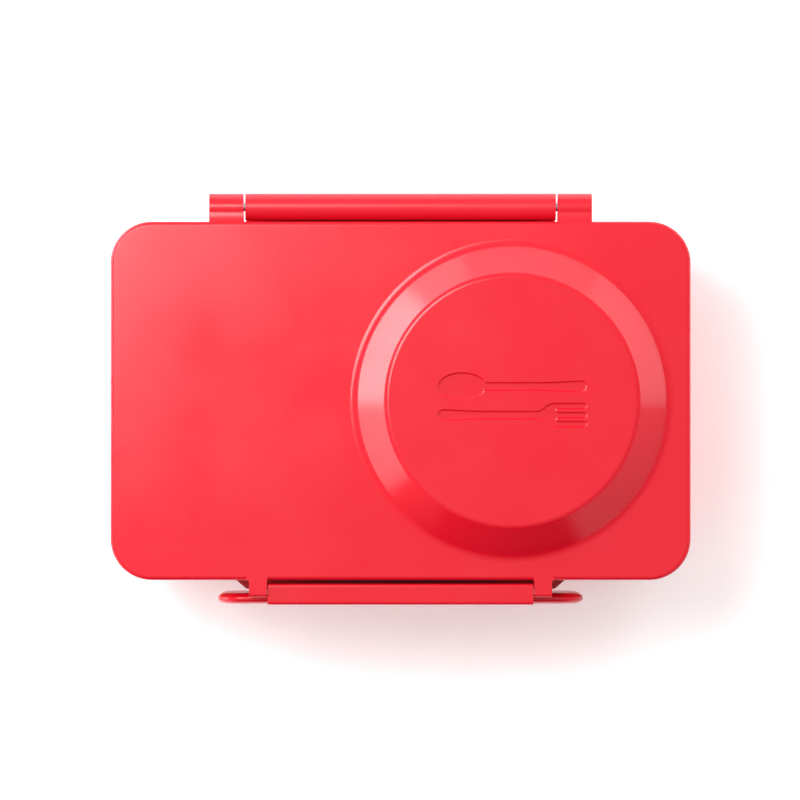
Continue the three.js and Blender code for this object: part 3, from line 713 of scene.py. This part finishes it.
def hinge_bracket():
    """The base's half of the hinge: a barrel on a web that grows out of the rear wall."""
    half, foot_drop, foot_reach, waist_drop, hollow = 2.6, 13.0, 1.0, 5.2, 1.2
    shelf = RIM_TOP - DECK_THICK
    wall = BASE_HALF_Y
    inside = wall - BASE_WALL
    section = [(inside, shelf - foot_drop), (wall + foot_reach, shelf - foot_drop)]
    section += [(HINGE_Y + half, shelf - waist_drop), (HINGE_Y + half, HINGE_Z)]
    section += [(HINGE_Y - half, HINGE_Z)]
    section += arc(HINGE_Y - half - hollow, shelf + hollow, hollow, 0, -90, 5)
    section += [(wall + GAP, shelf), (inside, SHELL_TOP - 0.05)]
    web = bar("web", section, -BARREL_HALF, BARREL_HALF)
    return join(web, rod("barrel", HINGE_RADIUS, -BARREL_HALF, BARREL_HALF, HINGE_Y, HINGE_Z, 0, 64))


def catch_ledge():
    """The ledge under the front lugs that the latch's lip snaps under, slanted back at both ends."""
    half, inside, turn = 63.6, -58.0, 1.5
    below_parting, thick, clear = 12.0, 7.0, 1.3
    bottom = PARTING - below_parting
    front = PLATE_BACK + clear
    run = -front - BASE_HALF_Y
    corner = half - run - turn
    outline = [(-half, inside), (-half, front + run)]
    outline += arc(-corner, front + turn, turn, 225, 270, 4)
    outline += arc(corner, front + turn, turn, 270, 315, 4)
    outline += [(half, front + run), (half, inside)]
    return upright("ledge", outline, bottom, bottom + thick)


def liner():
    """The food tub: a deck on the base's rim, a cold bay, the jar's well and the divider's rails."""
    wall, land, right = 1.8, 5.8, 4.0
    bay_corner, well_corner, well_clear = 9.0, 3.0, 0.8
    tub_edge, bay_edge = 4.0, 5.0
    mouth_depth = 1.0
    mouth_edge = ((0.0, 0.0), (0.08, 0.4), (0.3, 0.7), (0.9, 1.02), (1.4, 3.0))
    deck_edge = 0.25
    deck_low = RIM_TOP - DECK_THICK
    mouth_low = RIM_TOP - mouth_depth
    left = -BASE_HALF_X + land
    floor_top = LINER_LOW.z + wall
    well = JAR_HIGH.x - DOME_X + well_clear

    def bay_ring(grow, z):
        whole = base_lean(z) - grow
        low, high = left + whole, right - base_lean(z) * right / BASE_HALF_X + grow
        centre = ((low + high) / 2, 0.0)
        return rounded_ring((high - low) / 2, BASE_HALF_Y - land - whole, bay_corner + grow, z, 10, centre)

    deck_rise = (
        (deck_edge, deck_low), (0, deck_low + deck_edge),
        (0, RIM_TOP - 0.5), (0.15, RIM_TOP - 0.15), (0.5, RIM_TOP),
    )
    deck = loft("base_liner_fine", [
        rounded_ring(BASE_HALF_X - inset, BASE_HALF_Y - inset, BASE_CORNER - inset, z)
        for inset, z in deck_rise
    ])
    tub_rings = [
        bay_ring(wall - inset, LINER_LOW.z + tub_edge - rise)
        for inset, rise in reversed(rounding(tub_edge, 4))
    ]
    tub = loft("tub", tub_rings + [bay_ring(wall, deck_low + PAST)])
    bay_rings = [
        bay_ring(-inset, floor_top + bay_edge - rise)
        for inset, rise in reversed(rounding(bay_edge, 6))
    ]
    bay_rings += [bay_ring(inset, mouth_low + rise) for inset, rise in mouth_edge]
    hollow = loft("bay", bay_rings)
    cut(hollow, disc("plug", well + wall, 0, FLAT_TOP))
    mouth = [(0, floor_top)] + arc(well - well_corner, floor_top + well_corner, well_corner, 270, 360, 5)
    mouth += [(well, mouth_low), (well + 0.3, RIM_TOP - 0.3), (well + 1, RIM_TOP + 0.05)]
    mouth += [(well + 1, FLAT_TOP), (0, FLAT_TOP)]
    body = join(deck, tub, disc("plug", well + wall, LINER_LOW.z, deck_low + PAST))
    body = cut(body, hollow, turned("well", mouth, DOME_X, 0.0))
    slot, rail, rail_reach, rail_top = 2.0, 1.5, 2.5, 5.7
    well_left = DOME_X - well - wall
    span = (floor_top - 0.5, RIM_TOP - rail_top)
    for low, high in ((slot, slot + rail), (-slot - rail, -slot)):
        body = join(
            body,
            block("rail", left + 0.4, left + BASE_TAPER + rail_reach, low, high, *span),
            block("rail", well_left - rail_reach, well_left + wall / 2, low, high, *span),
        )
    return body


# ---------- latch ----------
def plate_ring(half_x, half_z, radius, y, middle):
    """A rounded rectangle that faces the front."""
    return [(x, y, middle + z) for x, z, _ in rounded_ring(half_x, half_z, radius, 0, 12)]


def latch_flap():
    """The latch: a pillowed plate with a grip opening, and a neck that swings between the lugs."""
    edge, reach, corner, tall = 1.8, 4.0, 9.0, 48.0
    grip_half_x, grip_half_z, grip_round, grip_rise = 43.0, 8.0, 7.0, 8.0
    head, bend, neck_thick, shoulder = 2.9, 1.2, 3.0, 1.6
    bore_depth = 9.3
    front, back = FLAP_LOW.y, PLATE_BACK
    low, high = FLAP_LOW.z, FLAP_LOW.z + tall
    middle, half_z = (low + high) / 2, (high - low) / 2
    half_x = FLAP_HIGH.x
    pillow = [(edge * rise, reach * inset) for inset, rise in rounding(1.0, 9)]
    rings = []
    for rise, inset in reversed(pillow):
        y = front + edge - rise
        rings.append(plate_ring(half_x - inset, half_z - inset, corner - inset, y, middle))
    for rise, inset in pillow:
        y = back - edge + rise
        rings.append(plate_ring(half_x - inset, half_z - inset, corner - inset, y, middle))
    plate = loft("latch_flap_fine", rings)
    grip_middle = low + grip_rise + grip_half_z
    flares = ((3.0, -1.0), (1.5, -0.05), (0.45, 0.45), (0.0, 1.5))
    sides = [(flare, front + depth) for flare, depth in flares]
    sides += [(flare, back - depth) for flare, depth in reversed(flares)]
    grip = [
        plate_ring(grip_half_x + flare, grip_half_z + flare, grip_round + flare, y, grip_middle)
        for flare, y in sides
    ]
    neck_front = LATCH_Y - front
    neck_back = neck_thick - neck_front
    foot = high - LATCH_Z - reach - 1
    section = [(head, -shoulder)] + arc(head - bend, head - bend, bend, 0, 90, 8)
    section += arc(bend - neck_front, head - bend, bend, 90, 180, 8)
    section += [(-neck_front, foot), (neck_back, foot), (neck_back, -head), (head - shoulder, -head)]
    neck = bar("neck", [(LATCH_Y + y, LATCH_Z + z) for y, z in section], -NECK_HALF, NECK_HALF)
    seat = block(
        "seat", LIP_LOW.x - GAP, LIP_HIGH.x + GAP, LIP_LOW.y - GAP, back + PAST,
        LIP_LOW.z - GAP, LIP_HIGH.z + GAP,
    )
    bore_start = NECK_HALF - bore_depth
    bores = [
        rod("bore", LATCH_BORE, bore_start, NECK_HALF + PAST, LATCH_Y, LATCH_Z, 0, 32),
        rod("bore", LATCH_BORE, -NECK_HALF - PAST, -bore_start, LATCH_Y, LATCH_Z, 0, 32),
    ]
    return cut(join(plate, neck), loft("grip", grip), seat, *bores)


def snap_lip():
    """The flexing lip, with a slanted lead-in and a blunt nose."""
    tip, seat, back = LIP_HIGH.y, LIP_LOW.y, PLATE_BACK
    low, high = LIP_LOW.z, LIP_HIGH.z
    section = [(seat, low), (back, low), (tip - 0.3, high - 1.1), (tip, high - 0.7)]
    section += [(tip, high - 0.2), (tip - 0.2, high), (seat, high)]
    return bar("latch_snap_lip_fine", section, LIP_LOW.x, LIP_HIGH.x)


# ---------- food jar ----------
NECK_TOP = BOWL_HIGH.z
SHELL = 0.9
NECK_INNER = 39.0
NECK_OUTER = NECK_INNER + SHELL
PLUG_CLEAR = 0.8
GROOVE_DEPTH = 1.7


def jar_outer():
    """The jar's spun outer wall: one thin sheet with a rounded foot and shoulder."""
    foot, shoulder = 5.0, 4.0
    radius = (JAR_HIGH.x - JAR_LOW.x) / 2
    low, high = JAR_LOW.z, JAR_HIGH.z
    mouth = NECK_OUTER + GAP
    return [
        (0, low),
        *arc(radius - foot, low + foot, foot, 270, 360),
        *arc(radius - shoulder, high - shoulder, shoulder, 0, 90),
        (mouth, high), (mouth, high - SHELL),
        *arc(radius - shoulder, high - shoulder, shoulder - SHELL, 90, 0),
        *arc(radius - foot, low + foot, foot - SHELL, 360, 270),
        (0, low + SHELL),
    ]


def jar_bowl():
    """The jar's inner bowl: one thin sheet that steps in to the neck."""
    edge, bowl, throat_drop, ease = 9.0, 45.0, 1.5, 0.6
    low = BOWL_LOW.z
    outer = bowl + SHELL
    step = bowl - NECK_INNER
    throat = JAR_HIGH.z - SHELL - throat_drop - step
    lip = SHELL / 2
    return [
        (0, low),
        *arc(outer - edge, low + edge, edge, 270, 360),
        (outer, throat - 1), (outer - ease, throat + ease), (NECK_OUTER, throat + step),
        *arc(NECK_OUTER - lip, NECK_TOP - lip, lip, 0, 180, 8),
        (NECK_INNER, throat + step), (bowl - ease, throat + ease), (bowl, throat - 1),
        *arc(outer - edge, low + edge, edge - SHELL, 360, 270),
        (0, low + SHELL),
    ]


def jar_collar():
    """The neck's plastic collar with its thread, drawn as turned ridges."""
    pitch, crest, ridges, start_rise, ease = 2.6, 0.5, 3, 1.6, 0.4
    inner, outer = NECK_OUTER + GAP, (COLLAR_HIGH.x - COLLAR_LOW.x) / 2
    low, high = COLLAR_LOW.z, COLLAR_HIGH.z
    root = outer - crest
    start = low + start_rise
    profile = [(inner, low), (outer, low)]
    for i in range(ridges):
        z = start + pitch * i
        profile += [(root, z), (root, z + 1.0), (outer, z + 1.3), (outer, z + 1.7)]
    profile += [(root, start + ridges * pitch - ease), (root, high - ease), (root - ease, high)]
    return profile + [(inner, high)]


def jar_cap():
    """The jar's screw lid: a fluted skirt, a dished top and a grip bar across it."""
    radius, wall, deck, edge = CAP_RADIUS, 1.8, 2.2, 3.0
    dish_inset, dish_slant, dish_depth = 7.0, 0.6, 0.5
    flutes, steps_per_flute, flute_depth = 60, 6, 0.35
    bar_rise, bar_half_width, bar_half_length, bar_edge, button_hole = 4.0, 7.5, 36.0, 1.8, 5.5
    low, top = CAP_LOW.z, CAP_HIGH.z - bar_rise
    inner = radius - wall
    segments = flutes * steps_per_flute
    profile = [(0, top - deck), (inner, top - deck), (inner, low), (radius - 0.5, low)]
    fluted = range(len(profile) + 2, len(profile) + 4)
    profile += [(radius, z) for z in (low + 0.5, low + 2.5, low + 3.5, top - edge - 3, top - edge - 2)]
    profile += arc(radius - edge, top - edge, edge, 0, 90)
    floor_z = top - dish_depth
    profile += [(radius - dish_inset, top), (radius - dish_inset - dish_slant, floor_z), (0, floor_z)]
    bm = bmesh.new()
    rows = []
    for index, (r, z) in enumerate(profile):
        if r == 0:
            rows.append([bm.verts.new((DOME_X, 0, z))])
            continue
        row = []
        for i in range(segments):
            angle = 2 * math.pi * i / segments
            away = r
            if index in fluted:
                away -= flute_depth * (0.5 - 0.5 * math.cos(flutes * angle))
            row.append(bm.verts.new((DOME_X + away * math.cos(angle), away * math.sin(angle), z)))
        rows.append(row)
    for below, above in zip(rows, rows[1:]):
        for i in range(segments):
            j = (i + 1) % segments
            corners = [below[0 if len(below) == 1 else i], below[0 if len(below) == 1 else j]]
            corners += [above[0 if len(above) == 1 else j], above[0 if len(above) == 1 else i]]
            bm.faces.new(list(dict.fromkeys(corners)))
    shell = new_object("jar_lid_cap_fine", bm)

    def bar_ring(inset, z):
        half_x, half_y = bar_half_width - inset, bar_half_length - inset
        return rounded_ring(half_x, half_y, half_x, z, 16, (DOME_X, 0.0))

    rings = [bar_ring(0, top - PAST)]
    for inset, rise in rounding(bar_edge):
        rings.append(bar_ring(inset, CAP_HIGH.z - bar_edge + rise))
    hole = disc("hole", button_hole, top - deck - PAST, BUTTON_HIGH.z + 2 * PAST, 64)
    return cut(join(shell, loft("grip_bar", rings)), hole)


def jar_plug():
    """The jar lid's inner liner: a cup with a groove for the gasket and a rim against the cap."""
    wall, rim_thick, edge, ease = 1.6, 2.0, 0.6, 0.3
    rim = (PLUG_HIGH.x - PLUG_LOW.x) / 2
    plug = NECK_INNER - PLUG_CLEAR
    low, high = PLUG_LOW.z, PLUG_HIGH.z
    groove, groove_top, floor_radius = RING_LOW.z - GAP, RING_HIGH.z + GAP, plug - GROOVE_DEPTH
    inner = floor_radius - wall
    return [
        (0, low), (plug - edge, low), (plug, low + edge),
        (plug, groove), (floor_radius, groove), (floor_radius, groove_top), (plug, groove_top),
        (plug, high - rim_thick), (rim - ease, high - rim_thick), (rim, high - rim_thick + ease),
        (rim, high - ease), (rim - ease, high),
        (inner + 0.5, high), (inner, high - 0.5),
        (inner, low + 3), (inner - 1.4, low + wall), (0, low + wall),
    ]


def jar_ring():
    """The jar lid's gasket, rounded where it meets the neck."""
    outer = (RING_HIGH.x - RING_LOW.x) / 2
    inner = NECK_INNER - PLUG_CLEAR - GROOVE_DEPTH + GAP
    low, high = RING_LOW.z, RING_HIGH.z
    round_edge = (high - low) / 2
    return [(inner, low), *arc(outer - round_edge, low + round_edge, round_edge, 270, 450, 10), (inner, high)]


def vent_button():
    """The vent's button: a flange that keeps it in, and a dished top."""
    radius, flange_thick, ease, dish = 5.2, 1.4, 0.3, 0.5
    flange = (BUTTON_HIGH.x - BUTTON_LOW.x) / 2
    low, high = BUTTON_LOW.z, BUTTON_HIGH.z
    step = low + flange_thick
    return [
        (0, low), (flange - ease, low), (flange, low + ease),
        (flange, step - ease), (flange - ease, step), (radius, step),
        *arc(radius - 1, high - 1, 1, 0, 90),
        (radius - 1.9, high - 0.35), (radius - 2.4, high - dish), (0, high - dish),
    ]


def foot_pad():
    """The jar's silicone foot with four raised rings."""
    rings, first, pitch, half, crest, rise = 4, 12.0, 9.0, 2.6, 0.4, 0.3
    radius = (FOOT_HIGH.x - FOOT_LOW.x) / 2
    low, high = FOOT_LOW.z, FOOT_HIGH.z
    sole = low + rise
    profile = [(0, sole)]
    for i in range(rings):
        r = first + pitch * i
        profile += [(r - half - crest, sole), (r - half, low), (r + half, low), (r + half + crest, sole)]
    profile += [(radius - 1, sole), (radius, low + 1), (radius, high - 0.3), (radius - 0.3, high)]
    return profile + [(0, high)]


def pins():
    """The four steel pins, with rounded ends."""
    for node in ("hinge_pin_left", "hinge_pin_right", "latch_pin_left", "latch_pin_right"):
        low, high = node_box(node)
        radius = (high.z - low.z) / 2
        middle = (low + high) / 2
        chamfer = radius * 0.25
        made = rod(node + "_fine", radius, low.x, high.x, middle.y, middle.z, chamfer)
        piece(made, node, pin_steel, 0)


def carried(node, material, width):
    """Keeps a CAD node, with softened edges and a finished material."""
    obj = frame["nodes"][node]
    soften(obj, width * MM)
    for slot in obj.material_slots:
        slot.material = material


piece(lid_shell(), "lid_shell", red_lid, 0.22)
piece(inner_panel(), "lid_inner_panel", liner_plastic, 0.35)
piece(lid_seal(), "lid_gasket", seal_silicone, 0.2)
piece(base_shell(), "base_shell", red_body, 0.3)
piece(liner(), "base_liner", liner_plastic, 0.3)
piece(latch_flap(), "latch_flap", red_latch, 0.35)
piece(snap_lip(), "latch_snap_lip", seal_silicone, 0.2)
for node, profile, material, width in (
    ("jar_outer_wall", jar_outer(), jar_steel, 0.1),
    ("jar_inner_bowl", jar_bowl(), jar_steel, 0.0),
    ("jar_collar", jar_collar(), jar_plastic, 0.12),
    ("jar_lid_liner", jar_plug(), jar_plastic, 0.15),
    ("jar_lid_gasket", jar_ring(), seal_silicone, 0.1),
    ("jar_vent_button", vent_button(), jar_plastic, 0.1),
    ("jar_base_cap", foot_pad(), seal_silicone, 0.1),
):
    piece(turned(node + "_fine", profile, DOME_X, 0.0), node, material, width)
piece(jar_cap(), "jar_lid_cap", red_lid, 0.3)
pins()
carried("divider", liner_plastic, 0.5)
carried("divider_seal", seal_silicone, 0.4)


# ---------- floor, light and camera ----------
def floor():
    """Pale paper that glows a little, so that it stays near white round the box."""
    bm = bmesh.new()
    bmesh.ops.create_grid(bm, x_segments=2, y_segments=2, size=6.0)
    obj = new_object("floor", bm)
    n = Nodes("floor_paper")
    speck = n.remap(n.noise(60, 3), 0.3, 0.7, 0.0, 1.0)
    n.link(n.mix(speck, (0.93, 0.93, 0.93), (0.95, 0.95, 0.95)), n.shader.inputs["Base Color"])
    n.shader.inputs["Roughness"].default_value = 0.9
    n.shader.inputs["Specular IOR Level"].default_value = 0.1
    n.shader.inputs["Emission Color"].default_value = (1.0, 1.0, 1.0, 1.0)
    n.shader.inputs["Emission Strength"].default_value = 0.3
    obj.data.materials.append(n.material)


def around_dome(azimuth, distance, height):
    """A place in metres at an azimuth round the dome's axis."""
    angle = math.radians(azimuth)
    return Vector((DOME_X * MM + distance * math.cos(angle), distance * math.sin(angle), height))


def card(name, start, end, distance, height, tone):
    """An upright card round the dome between two azimuths that only reflections see, as a studio flag."""
    bm = bmesh.new()
    steps = 12
    feet = [around_dome(start + (end - start) * i / steps, distance, 0.001) for i in range(steps + 1)]
    for a, b in zip(feet, feet[1:]):
        up = Vector((0, 0, height))
        bm.faces.new([bm.verts.new(p) for p in (a, b, b + up, a + up)])
    obj = new_object(name, bm)
    n = Nodes(name + "_felt")
    n.shader.inputs["Base Color"].default_value = (tone, tone, tone, 1)
    n.shader.inputs["Roughness"].default_value = 1.0
    n.shader.inputs["Specular IOR Level"].default_value = 0.0
    obj.data.materials.append(n.material)
    obj.visible_camera = False
    obj.visible_diffuse = False
    obj.visible_shadow = False


def softbox(name, place, aim, width, height, radiance):
    """A rectangular light given by its radiance."""
    light = bpy.data.lights.new(name, "AREA")
    light.shape = "RECTANGLE"
    light.size, light.size_y, light.energy = width, height, radiance * math.pi * width * height
    obj = bpy.data.objects.new(name, light)
    obj.location = place
    obj.rotation_mode = "QUATERNION"
    obj.rotation_quaternion = (Vector(aim) - Vector(place)).to_track_quat("-Z", "Y")
    obj.visible_camera = False
    bpy.context.scene.collection.objects.link(obj)


def low_strip(name, azimuth, distance, width, height, radiance):
    """A softbox standing on the floor and facing the dome."""
    place = around_dome(azimuth, distance, height / 2)
    softbox(name, place, around_dome(azimuth, 0, height / 2), width, height, radiance)


def camera():
    """Looks straight down on the lid."""
    above_lid = 3.0
    seen_width = 0.2908
    data = bpy.data.cameras.new("camera")
    data.sensor_width = 36.0
    data.lens = data.sensor_width * above_lid / seen_width
    obj = bpy.data.objects.new("camera", data)
    obj.location = (-0.0002, 0.0003, FLAT_TOP * MM + above_lid)
    data.clip_end = 20
    bpy.context.scene.collection.objects.link(obj)
    bpy.context.scene.camera = obj


def surround(strength):
    """A white room that falls off towards the dark front."""
    world = bpy.data.worlds.new("studio")
    world.use_nodes = True
    tree = world.node_tree
    towards = tree.nodes.new("ShaderNodeVectorMath")
    towards.operation = "DOT_PRODUCT"
    towards.inputs[1].default_value = (-0.42, 0.66, 0.62)
    tree.links.new(tree.nodes.new("ShaderNodeTexCoord").outputs["Generated"], towards.inputs[0])
    level = tree.nodes.new("ShaderNodeMapRange")
    level.interpolation_type = "SMOOTHSTEP"
    edge, dimmest = 0.75, 0.03
    for name, value in (
        ("From Min", -edge), ("From Max", edge), ("To Min", dimmest * strength), ("To Max", strength),
    ):
        level.inputs[name].default_value = value
    tree.links.new(towards.outputs["Value"], level.inputs["Value"])
    background = tree.nodes["Background"]
    background.inputs["Color"].default_value = (1.0, 1.0, 1.0, 1.0)
    tree.links.new(level.outputs["Result"], background.inputs["Strength"])
    bpy.context.scene.world = world


floor()
surround(0.78)
softbox("key", (-0.26, 0.22, 0.95), (0, 0, 0.08), 0.36, 0.36, 12)
low_strip("left_strip", 157, 0.5, 0.45, 0.2, 6)
low_strip("left_fill", 163, 0.56, 1.5, 0.2, 3.4)
low_strip("back_fill", 84, 0.5, 0.5, 0.2, 1.4)
low_strip("right_strip", 27, 0.45, 0.5, 0.2, 2.2)
card("front_flag", 238, 297, 0.3, 0.3, 0.0)
card("right_flag", 297, 355, 0.42, 0.3, 0.55)
camera()
bpy.context.scene.view_settings.view_transform = "Standard"
